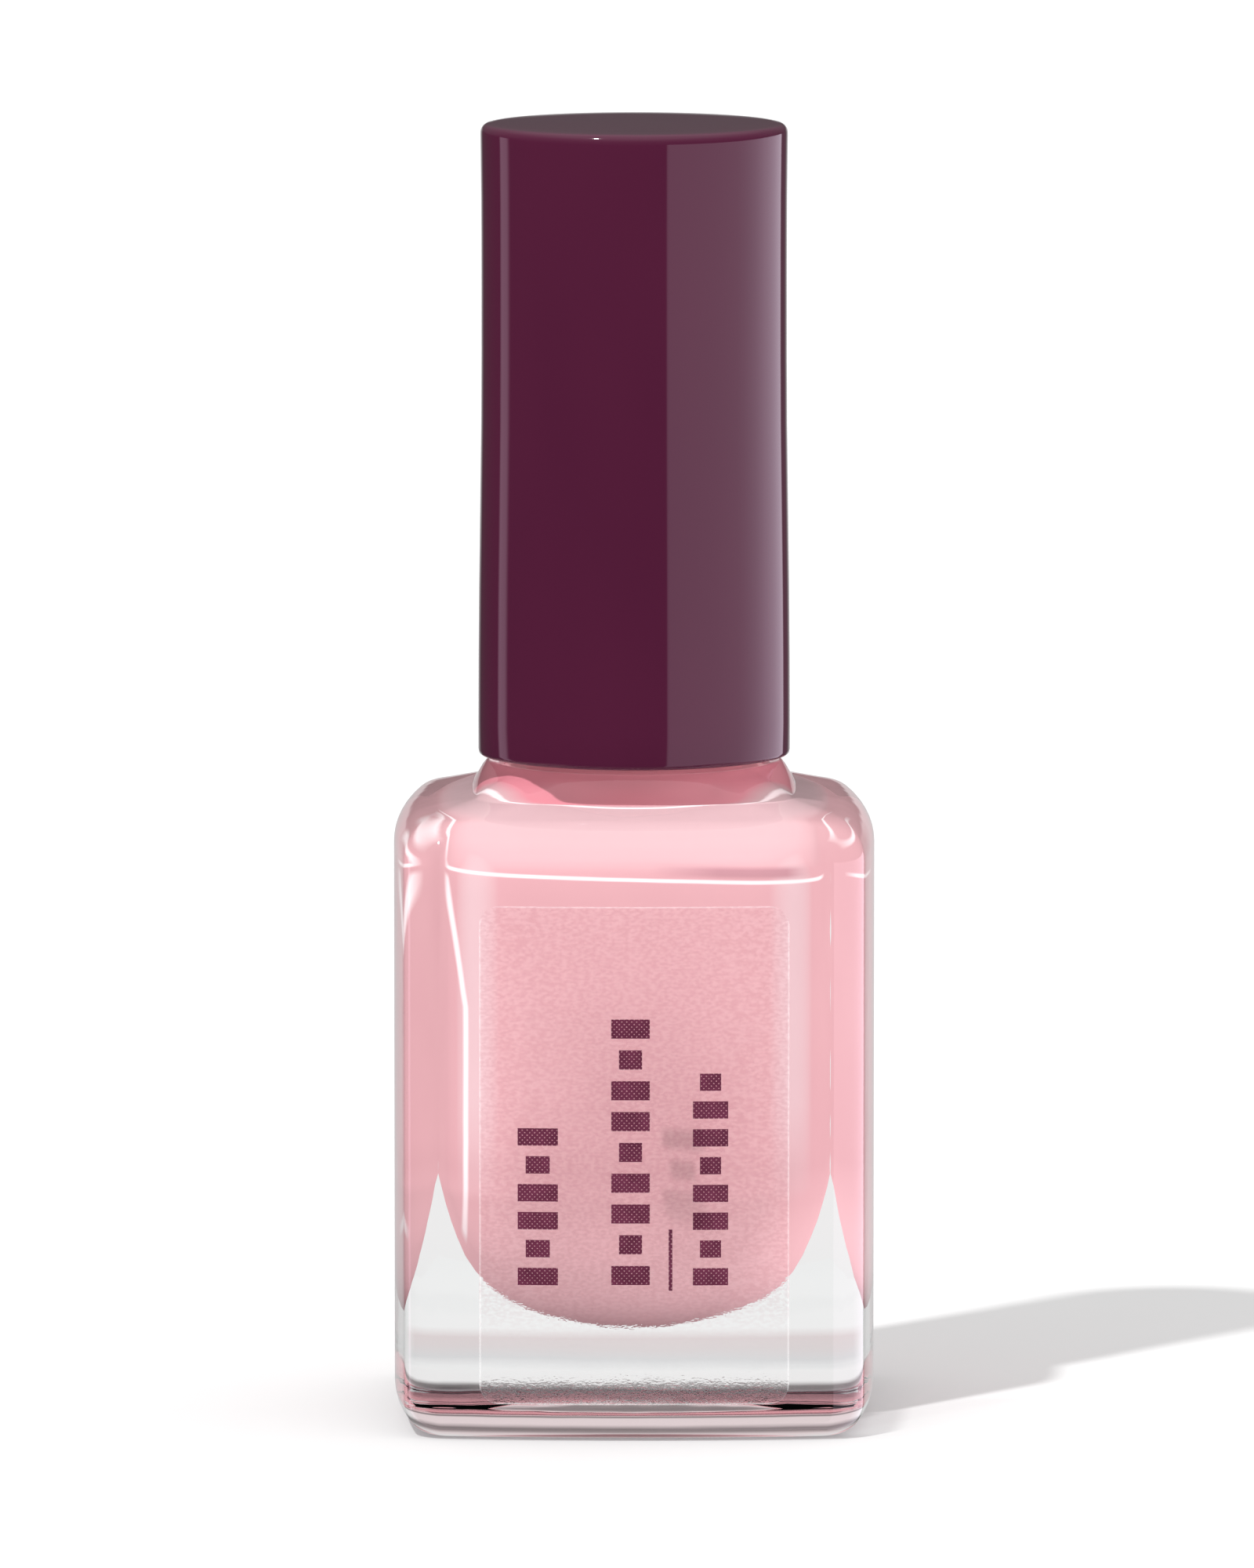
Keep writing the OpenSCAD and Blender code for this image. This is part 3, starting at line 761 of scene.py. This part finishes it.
def screened_ink():
    finish, tree, shader = new_finish("screened_ink")
    place = add_node(tree, "ShaderNodeTexCoord")
    split = add_node(tree, "ShaderNodeSeparateXYZ")
    tree.links.new(place.outputs["Object"], split.inputs[0])
    wave = 2 * math.pi / DOT_PITCH / math.sqrt(2)
    total = math_node(tree, "ADD", split.outputs["X"], split.outputs["Z"])
    difference = math_node(tree, "SUBTRACT", split.outputs["X"], split.outputs["Z"])
    first = math_node(tree, "COSINE", math_node(tree, "MULTIPLY", total, wave))
    second = math_node(tree, "COSINE", math_node(tree, "MULTIPLY", difference, wave))
    dots = math_node(tree, "ADD", first, second)
    open_dot = mapped(tree, dots, 0.0, 0.75, 1.0, 1.5)
    shade = noise_at(tree, 900.0)
    tree.links.new(two_tones(tree, shade, INK_DARK, INK_LIGHT), shader.inputs["Base Color"])
    shader.inputs["Roughness"].default_value = 0.35
    bare = add_node(tree, "ShaderNodeBsdfTransparent")
    mix = add_node(tree, "ShaderNodeMixShader")
    tree.links.new(open_dot, mix.inputs[0])
    tree.links.new(shader.outputs[0], mix.inputs[1])
    tree.links.new(bare.outputs[0], mix.inputs[2])
    tree.links.new(mix.outputs[0], tree.nodes["Material Output"].inputs["Surface"])
    return finish


ink.data.materials.append(screened_ink())
print("print marks:", len(ink_faces) // 18)

# %% [markdown]
# ## The cap
# The cap is a tall moulded tube with a closed top. It narrows by a hair towards the top, where its
# edge flares again by a few hundredths of a millimetre, and all its edges are rolled. A turned
# outline gives all of that, and enough columns keep the reflections in it straight.

# %% Cap shell
CAP_FOOT, CAP_TOP = 39.9, 78.0
SHELL_IN_R, SHELL_ROOF = 8.25, 76.6
CAP_SIDE = ((9.4, 40.2), (9.4, 42.0), (9.385, 46.0), (9.35, 50.0), (9.28, 55.0), (9.215, 60.0), (9.195, 64.0),
            (9.19, 68.0), (9.192, 71.0), (9.2, 73.5), (9.22, 75.5), (9.235, 76.8), (9.24, 77.3))
CAP_EDGE_R, CAP_EDGE_IN, CAP_EDGE_Z, CAP_EDGE_UP = 9.24, 0.45, 77.42, 0.55


def cap_outline():
    inner = [(0, SHELL_ROOF), (4, SHELL_ROOF), (8.0, SHELL_ROOF), (SHELL_IN_R, SHELL_ROOF - 0.25),
             (SHELL_IN_R, 60.0), (SHELL_IN_R, 45.0), (SHELL_IN_R, CAP_FOOT + 0.25),
             (SHELL_IN_R + 0.1, CAP_FOOT + 0.03)]
    foot = [(SHELL_IN_R + 0.3, CAP_FOOT), (9.15, CAP_FOOT), (9.28, CAP_FOOT + 0.03), (9.36, CAP_FOOT + 0.11)]
    edge = [(CAP_EDGE_R - CAP_EDGE_IN * (1 - math.cos(a)), CAP_EDGE_Z + CAP_EDGE_UP * math.sin(a))
            for a in np.radians(np.linspace(10, 82, 9))]
    top = [(8.5, 77.985), (7.0, 77.992), (4.0, CAP_TOP), (0, CAP_TOP)]
    return inner + foot + list(CAP_SIDE) + edge + top


cap = skin_of_rings("burgundy_cap", turned(cap_outline(), columns=256))
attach(cap, "cap")
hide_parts("cap_shell")

# %% Cap finish
BURGUNDY_DARK, BURGUNDY_LIGHT = (0.057, 0.0075, 0.0262), (0.068, 0.0094, 0.0302)


def burgundy_plastic():
    finish, tree, shader = new_finish("burgundy_plastic")
    swirl = noise_at(tree, 60.0, detail=3.0, stretch=(1.0, 1.0, 0.4))
    tree.links.new(two_tones(tree, swirl, BURGUNDY_DARK, BURGUNDY_LIGHT), shader.inputs["Base Color"])
    haze = noise_at(tree, 420.0, detail=4.0)
    tree.links.new(mapped(tree, haze, 0.035, 0.06), shader.inputs["Roughness"])
    shader.inputs["IOR"].default_value = 1.5
    sink = noise_at(tree, 75.0, detail=1.0, stretch=(1.0, 1.0, 0.25))
    tree.links.new(bump_from(tree, sink, 0.00003, 0.35), shader.inputs["Normal"])
    return finish


cap.data.materials.append(burgundy_plastic())
print("cap faces:", len(cap.data.polygons))

# %% [markdown]
# ## Under the cap
# Inside the shiny shell sits a plain white insert. It holds the screw thread, a boss for the brush
# and a soft disc that seals the rim of the glass. None of it shows while the cap is on, but it does
# as soon as the cap comes off, so it gets the same care.

# %% Insert with its thread
INSERT_R, NUT_R, ROOF_Z, ROOF_TOP = 8.23, 7.6, 52.9, 54.3
BOSS_R, BOSS_TOP, STEM_HOLE_R, STEM_HOLE_TOP, SKIRT_Z = 3.2, 60.3, 1.62, 59.52, 40.3
NUT_FOOT, NUT_TURNS = 46.31, 1.25
NUT_RIDGE = (0.95, 0.42, 0.72)


def nut_ridge(angles, z):
    return -ridge(angles, z, NUT_FOOT, NUT_TURNS, *NUT_RIDGE)


insert_in = softened([(0, STEM_HOLE_TOP), (STEM_HOLE_R, STEM_HOLE_TOP), (STEM_HOLE_R, ROOF_Z),
                      (NUT_R, ROOF_Z), (NUT_R, 50.2)], {1: 0.2, 2: 0.15, 3: 0.3})
insert_low = [(NUT_R, 45.4), (NUT_R, 42.0)] + softened(
    [(NUT_R, 41.0), (NUT_R, SKIRT_Z), (INSERT_R, SKIRT_Z), (INSERT_R, 42.2)], {1: 0.15, 2: 0.2})
insert_out = [(INSERT_R, 42.3), (INSERT_R + 0.08, 42.5), (INSERT_R + 0.2, 42.75), (INSERT_R + 0.2, 43.05),
              (INSERT_R + 0.08, 43.3), (INSERT_R, 43.5), (INSERT_R, 48.0)]
insert_top = softened([(INSERT_R, 50.0), (INSERT_R, ROOF_TOP), (BOSS_R, ROOF_TOP), (BOSS_R, BOSS_TOP),
                       (0, BOSS_TOP)], {1: 0.3, 2: 0.6, 3: 0.3})
threaded_wall = turned([(NUT_R, z) for z in np.arange(49.9, 45.5, -0.11)], 192, nut_ridge)
insert = skin_of_rings("thread_insert", turned(insert_in, 192) + threaded_wall
                       + turned(insert_low + insert_out + insert_top, 192))
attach(insert, "cap")
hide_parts("inner_cap")


def milky_plastic():
    finish, tree, shader = new_finish("milky_plastic")
    flow = noise_at(tree, 240.0, stretch=(1.0, 1.0, 0.3))
    tree.links.new(two_tones(tree, flow, (0.76, 0.75, 0.72), (0.82, 0.81, 0.79)), shader.inputs["Base Color"])
    tree.links.new(mapped(tree, noise_at(tree, 900.0), 0.32, 0.45), shader.inputs["Roughness"])
    shader.inputs["Subsurface Weight"].default_value = 0.15
    shader.inputs["Subsurface Radius"].default_value = (0.0006, 0.0005, 0.0004)
    tree.links.new(bump_from(tree, noise_at(tree, 2600.0), 0.000006, 0.5), shader.inputs["Normal"])
    return finish


insert.data.materials.append(milky_plastic())
print("insert faces:", len(insert.data.polygons))

# %% Sealing disc
LINER_IN, LINER_OUT, LINER_LOW, LINER_HIGH = 2.9, 7.45, 52.05, 52.85
RIM_DENT = 0.05

liner_outline = softened(
    [(LINER_IN, LINER_HIGH - 0.2), (LINER_IN, LINER_LOW), (4.2, LINER_LOW), (5.0, LINER_LOW + RIM_DENT),
     (5.8, LINER_LOW), (LINER_OUT, LINER_LOW), (LINER_OUT, LINER_HIGH), (LINER_IN, LINER_HIGH),
     (LINER_IN, LINER_HIGH - 0.2)], {1: 0.08, 5: 0.12, 6: 0.12, 7: 0.08})
liner = skin_of_rings("sealing_disc", turned(liner_outline, 96))
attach(liner, "seal")
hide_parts("cap_liner")


def foam():
    finish, tree, shader = new_finish("liner_foam")
    cells = add_node(tree, "ShaderNodeTexVoronoi")
    cells.inputs["Scale"].default_value = 3200.0
    place = add_node(tree, "ShaderNodeTexCoord")
    tree.links.new(place.outputs["Object"], cells.inputs["Vector"])
    tree.links.new(two_tones(tree, cells.outputs["Distance"], (0.78, 0.78, 0.76), (0.88, 0.88, 0.86)),
                   shader.inputs["Base Color"])
    tree.links.new(bump_from(tree, cells.outputs["Distance"], 0.00003, 0.7), shader.inputs["Normal"])
    shader.inputs["Roughness"].default_value = 0.75
    return finish


liner.data.materials.append(foam())

# %% [markdown]
# ## The brush
# A thin stem hangs from the insert, with a flange that seats against the roof. Its lower end is
# a socket, where a flat staple pins a tuft of some three hundred nylon hairs. A tuft is only
# convincing hair by hair: each one is a thin tapering tube with its own slight bend.

# %% Stem
STEM_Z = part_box("brush_stem")[0].z / MM
STEM_R, STEM_TIP_R, STEM_TOP = 1.6, 1.5, 59.5
SOCKET_R, SOCKET_H, FLANGE_R, FLANGE_LOW, FLANGE_HIGH = 1.09, 3.5, 2.6, 51.65, 52.85
stem_outline = softened(
    [(0, STEM_Z + SOCKET_H), (SOCKET_R, STEM_Z + SOCKET_H), (SOCKET_R, STEM_Z), (STEM_TIP_R, STEM_Z),
     (STEM_TIP_R + 0.02, 26.0), (STEM_R, FLANGE_LOW), (FLANGE_R, FLANGE_LOW), (FLANGE_R, FLANGE_HIGH),
     (STEM_R, FLANGE_HIGH), (STEM_R, STEM_TOP), (0, STEM_TOP)], {3: 0.2, 6: 0.15, 7: 0.15, 9: 0.3})
stem = skin_of_rings("brush_stem_moulded", turned(stem_outline, 64))
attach(stem, "cap")
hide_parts("brush_stem")


def dark_plastic():
    finish, tree, shader = new_finish("stem_plastic")
    tree.links.new(two_tones(tree, noise_at(tree, 300.0), (0.02, 0.004, 0.011), (0.03, 0.007, 0.016)),
                   shader.inputs["Base Color"])
    tree.links.new(mapped(tree, noise_at(tree, 700.0), 0.18, 0.3), shader.inputs["Roughness"])
    tree.links.new(bump_from(tree, noise_at(tree, 1500.0), 0.000006, 0.4), shader.inputs["Normal"])
    return finish


stem.data.materials.append(dark_plastic())

# %% Tuft, hair by hair
HAIRS, HAIR_R = 300, 0.05
TIP_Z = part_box("bristles")[0].z / MM + 0.05
HAIR_SIDES, HAIR_STEPS = 5, 9
GOLDEN_ANGLE, ROOT_DEPTH = 2.399963, 0.7
SWELL, DRAW_IN = 0.22, 0.18
TAPER, TAPER_FROM = 0.45, 0.75


def tuft():
    rng = random.Random(7)
    verts, faces = [], []
    root_z, mouth_z = STEM_Z + SOCKET_H - ROOT_DEPTH, STEM_Z
    for i in range(HAIRS):
        away = math.sqrt((i + 0.5) / HAIRS)
        turn = i * GOLDEN_ANGLE
        foot = TIP_Z + 1.7 * away ** 2.4 + rng.uniform(0, 0.35)
        lean, drift = rng.uniform(-0.05, 0.05), rng.uniform(-0.05, 0.05)
        start = len(verts)
        for j in range(HAIR_STEPS + 1):
            t = j / HAIR_STEPS
            z = root_z + (foot - root_z) * t
            below = max(0.0, (mouth_z - z) / (mouth_z - TIP_Z))
            swell, draw_in = math.sin(min(below, 1.0) * math.pi * 0.75), max(0.0, below - 0.7)
            belly = 0.95 + SWELL * swell - DRAW_IN * draw_in
            x = away * belly * math.cos(turn) + lean * below ** 2
            y = away * belly * math.sin(turn) + drift * below ** 2
            r = HAIR_R * (1.0 - TAPER * max(0.0, t - TAPER_FROM) / (1.0 - TAPER_FROM))
            for k in range(HAIR_SIDES):
                a = 2 * math.pi * k / HAIR_SIDES
                verts.append((x + r * math.cos(a), y + r * math.sin(a), z))
        n = HAIR_SIDES
        for j in range(HAIR_STEPS):
            for k in range(n):
                a, b = start + j * n + k, start + j * n + (k + 1) % n
                faces.append((b, a, a + n, b + n))
        faces.append(tuple(start + k for k in range(n)))
        last = start + HAIR_STEPS * n
        faces.append(tuple(last + k for k in reversed(range(n))))
    return verts, faces


hair_verts, hair_faces = tuft()
hairs = new_piece("nylon_tuft", np.array(hair_verts) * MM, hair_faces)
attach(hairs, "cap")
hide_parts("bristles")


def nylon():
    finish, tree, shader = new_finish("bristle_nylon")
    tree.links.new(two_tones(tree, noise_at(tree, 2200.0, stretch=(1.0, 1.0, 0.05)), (0.012, 0.011, 0.013),
                             (0.05, 0.045, 0.05)), shader.inputs["Base Color"])
    tree.links.new(mapped(tree, noise_at(tree, 3000.0), 0.2, 0.38), shader.inputs["Roughness"])
    return finish


hairs.data.materials.append(nylon())
print("hairs:", HAIRS, "faces:", len(hairs.data.polygons))

# %% [markdown]
# ## Small parts that keep their CAD shape
# Two polished balls stir the lacquer when the bottle is shaken, a staple holds the tuft, and a round
# sticker lies in the dish under the base. Their CAD shapes are right, so they only get finishes.

# %% Finishes for the carried-over nodes
def polished_steel(name, warm):
    finish, tree, shader = new_finish(name)
    dark, light = (0.52, 0.51, 0.49 - warm), (0.68, 0.67, 0.65 - warm)
    tree.links.new(two_tones(tree, noise_at(tree, 700.0), dark, light), shader.inputs["Base Color"])
    shader.inputs["Metallic"].default_value = 1.0
    tree.links.new(mapped(tree, noise_at(tree, 1600.0), 0.08, 0.2), shader.inputs["Roughness"])
    tree.links.new(bump_from(tree, noise_at(tree, 2500.0), 0.000004, 0.4), shader.inputs["Normal"])
    return finish


def sticker_paper():
    finish, tree, shader = new_finish("sticker_paper")
    fibre = noise_at(tree, 1300.0, detail=5.0)
    tree.links.new(two_tones(tree, fibre, (0.80, 0.62, 0.64), (0.86, 0.68, 0.70)), shader.inputs["Base Color"])
    tree.links.new(mapped(tree, noise_at(tree, 2400.0), 0.45, 0.65), shader.inputs["Roughness"])
    tree.links.new(bump_from(tree, noise_at(tree, 5200.0, detail=5.0), 0.00001, 0.5), shader.inputs["Normal"])
    return finish


for node, finish in (("mixing_balls", polished_steel("ball_steel", 0.0)),
                     ("brush_staple", polished_steel("staple_wire", 0.04)),
                     ("base_label", sticker_paper())):
    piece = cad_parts[node]
    piece.data.materials.clear()
    piece.data.materials.append(finish)
print("carried over: mixing_balls, brush_staple, base_label")

# %% [markdown]
# ## The floor
# A plain pale floor carries the soft grey shadow, and nothing else.

# %% Floor
FLOOR_HALF = 3.0
FLOOR_DARK, FLOOR_LIGHT = 0.585, 0.595

floor_corners = [(x * FLOOR_HALF, y * FLOOR_HALF, 0) for x, y in ((-1, -1), (1, -1), (1, 1), (-1, 1))]
floor = new_piece("floor", floor_corners, [(0, 1, 2, 3)], smooth=False)
floor_finish, floor_tree, floor_shader = new_finish("pale_floor")
floor_grain = noise_at(floor_tree, 25.0)
floor_tree.links.new(two_tones(floor_tree, floor_grain, grey(FLOOR_DARK), grey(FLOOR_LIGHT)),
                     floor_shader.inputs["Base Color"])
floor_shader.inputs["Roughness"].default_value = 0.9
floor_shader.inputs["Specular IOR Level"].default_value = 0.0
floor.data.materials.append(floor_finish)
floor.visible_glossy = False
floor.visible_transmission = False
floor.visible_diffuse = False
floor.visible_shadow = False

# %% [markdown]
# ## The studio
# Soft light comes from everywhere, a sun lamp high on the left draws the shadow, and the glossy
# cap mirrors a studio of its own: a tall white panel on the right with a crisp edge and a narrow
# strip of light behind on the left, with darkness between them.
# The world has a part for each kind of ray: the light that falls on things, what the glass lets you
# see through it, what glossy things mirror, and plain white for the background.

# %% World: soft light, and the panels that glossy things mirror
AMBIENT, SEEN_THROUGH, BACKGROUND = 1.02, 0.9, 1.2
PANEL_FROM, PANEL_TO = 25.0, 146.0
STRIP_FROM, STRIP_TO = -121.0, -110.0


def around(degrees):
    return (degrees + 180.0) / 360.0


def upward(degrees):
    return (degrees + 90.0) / 180.0


def studio_world():
    world = bpy.data.worlds.new("studio")
    world.use_nodes = True
    tree = world.node_tree
    tree.nodes.clear()
    place = add_node(tree, "ShaderNodeTexCoord")
    split = add_node(tree, "ShaderNodeSeparateXYZ")
    tree.links.new(place.outputs["Generated"], split.inputs[0])
    ahead = math_node(tree, "MULTIPLY", split.outputs["Y"], -1.0)
    turn = mapped(tree, math_node(tree, "ARCTAN2", split.outputs["X"], ahead), 0.0, 1.0, -math.pi, math.pi)
    height = mapped(tree, math_node(tree, "ARCSINE", split.outputs["Z"]), 0.0, 1.0, -math.pi / 2, math.pi / 2)

    dark, pane, strip = grey(0.035), (1.18, 0.95, 1.12), (1.1, 0.8, 1.0)
    mirrored_turn = colour_bands(tree, turn, [
        (around(-180), grey(0.6)), (around(-168), grey(0.5)), (around(-160), grey(0.06)),
        (around(STRIP_FROM - 0.5), dark), (around(STRIP_FROM + 0.5), strip), (around(STRIP_TO - 2), strip),
        (around(STRIP_TO + 2), dark), (around(PANEL_FROM - 0.4), dark), (around(PANEL_FROM + 0.4), pane),
        (around(85), (1.35, 1.1, 1.3)), (around(115), (1.8, 1.5, 1.8)),
        (around(PANEL_TO - 1), (1.7, 1.5, 1.75)), (around(PANEL_TO + 1), grey(0.1)), (around(160), grey(0.1)),
        (around(170), grey(0.6)), (around(180), grey(0.6))])
    mirrored_high = colour_bands(tree, height, [
        (0.0, grey(0.3)), (upward(-30), grey(0.3)), (upward(1.5), grey(0.0)), (upward(3), grey(0.09)),
        (upward(30), grey(0.25)), (upward(60), grey(0.8)), (1.0, grey(0.9))])
    low_part = colour_bands(tree, height, [
        (0.0, grey(0.3)), (upward(-20), grey(1.0)), (upward(1.5), grey(1.0)), (upward(3), grey(0.0)),
        (1.0, grey(0.0))])
    joined = add_node(tree, "ShaderNodeMix", data_type="RGBA")
    tree.links.new(low_part, joined.inputs[0])
    tree.links.new(mirrored_high, joined.inputs[6])
    tree.links.new(mirrored_turn, joined.inputs[7])

    soft_high = colour_bands(tree, height, [
        (0.0, (0.85, 0.80, 0.81)), (upward(-30), grey(0.92)), (upward(0), grey(1.0)), (1.0, grey(1.04))])

    path = add_node(tree, "ShaderNodeLightPath")
    falling = add_node(tree, "ShaderNodeBackground", Strength=AMBIENT)
    through = add_node(tree, "ShaderNodeBackground", Strength=SEEN_THROUGH)
    side_panel = colour_bands(tree, turn, [
        (0.0, grey(1.0)), (around(5), grey(0.97)), (around(40), grey(1.5)), (around(125), grey(1.5)),
        (around(150), grey(1.0)), (1.0, grey(1.0))])
    lit = add_node(tree, "ShaderNodeMix", data_type="RGBA", blend_type="MULTIPLY")
    lit.inputs[0].default_value = 1.0
    tree.links.new(soft_high, lit.inputs[6])
    tree.links.new(side_panel, lit.inputs[7])
    tree.links.new(lit.outputs[2], falling.inputs["Color"])
    seen_high = colour_bands(tree, height, [
        (0.0, (0.50, 0.34, 0.355)), (upward(-50), (0.62, 0.43, 0.45)), (upward(-30), (0.70, 0.50, 0.52)),
        (upward(-13), (0.80, 0.66, 0.675)), (upward(-9.5), grey(1.0)), (upward(8), grey(1.0)),
        (upward(15), grey(0.28)), (upward(21), grey(0.35)), (upward(30), grey(0.95)), (1.0, grey(1.0))])
    tree.links.new(seen_high, through.inputs["Color"])
    soft = add_node(tree, "ShaderNodeMixShader")
    tree.links.new(path.outputs["Is Transmission Ray"], soft.inputs[0])
    tree.links.new(falling.outputs[0], soft.inputs[1])
    tree.links.new(through.outputs[0], soft.inputs[2])
    mirrored = add_node(tree, "ShaderNodeBackground", Strength=1.0)
    tree.links.new(joined.outputs[2], mirrored.inputs["Color"])
    white = add_node(tree, "ShaderNodeBackground", Strength=BACKGROUND)
    white.inputs["Color"].default_value = (1, 1, 1, 1)
    # A ray through smooth glass counts as glossy too, so those are taken out of the mirrored ones.
    only_mirrored = math_node(tree, "SUBTRACT", path.outputs["Is Glossy Ray"],
                              path.outputs["Is Transmission Ray"])
    glossy = add_node(tree, "ShaderNodeMixShader")
    tree.links.new(only_mirrored, glossy.inputs[0])
    tree.links.new(soft.outputs[0], glossy.inputs[1])
    tree.links.new(mirrored.outputs[0], glossy.inputs[2])
    seen = add_node(tree, "ShaderNodeMixShader")
    tree.links.new(path.outputs["Is Camera Ray"], seen.inputs[0])
    tree.links.new(glossy.outputs[0], seen.inputs[1])
    tree.links.new(white.outputs[0], seen.inputs[2])
    out = add_node(tree, "ShaderNodeOutputWorld")
    tree.links.new(seen.outputs[0], out.inputs["Surface"])
    bpy.context.scene.world = world


studio_world()

# %% Key lamp
KEY_HIGH, KEY_TURN = math.radians(56.0), math.radians(49.0)
KEY_ENERGY, KEY_SPREAD = 2.5, 0.035

key_data = bpy.data.lights.new("key_lamp", "SUN")
key_data.energy = KEY_ENERGY
key_data.angle = KEY_SPREAD
key = bpy.data.objects.new("key_lamp", key_data)
key.rotation_euler = (math.pi / 2 - KEY_HIGH, 0.0, KEY_TURN - math.pi / 2)
key.visible_camera = False
key.visible_transmission = False
bpy.context.scene.collection.objects.link(key)
bpy.context.scene.view_settings.view_transform = "Standard"
print("key lamp turned", [round(math.degrees(a), 1) for a in key.rotation_euler])

# %% [markdown]
# ## Done

# %% Update the view layer
bpy.context.view_layer.update()
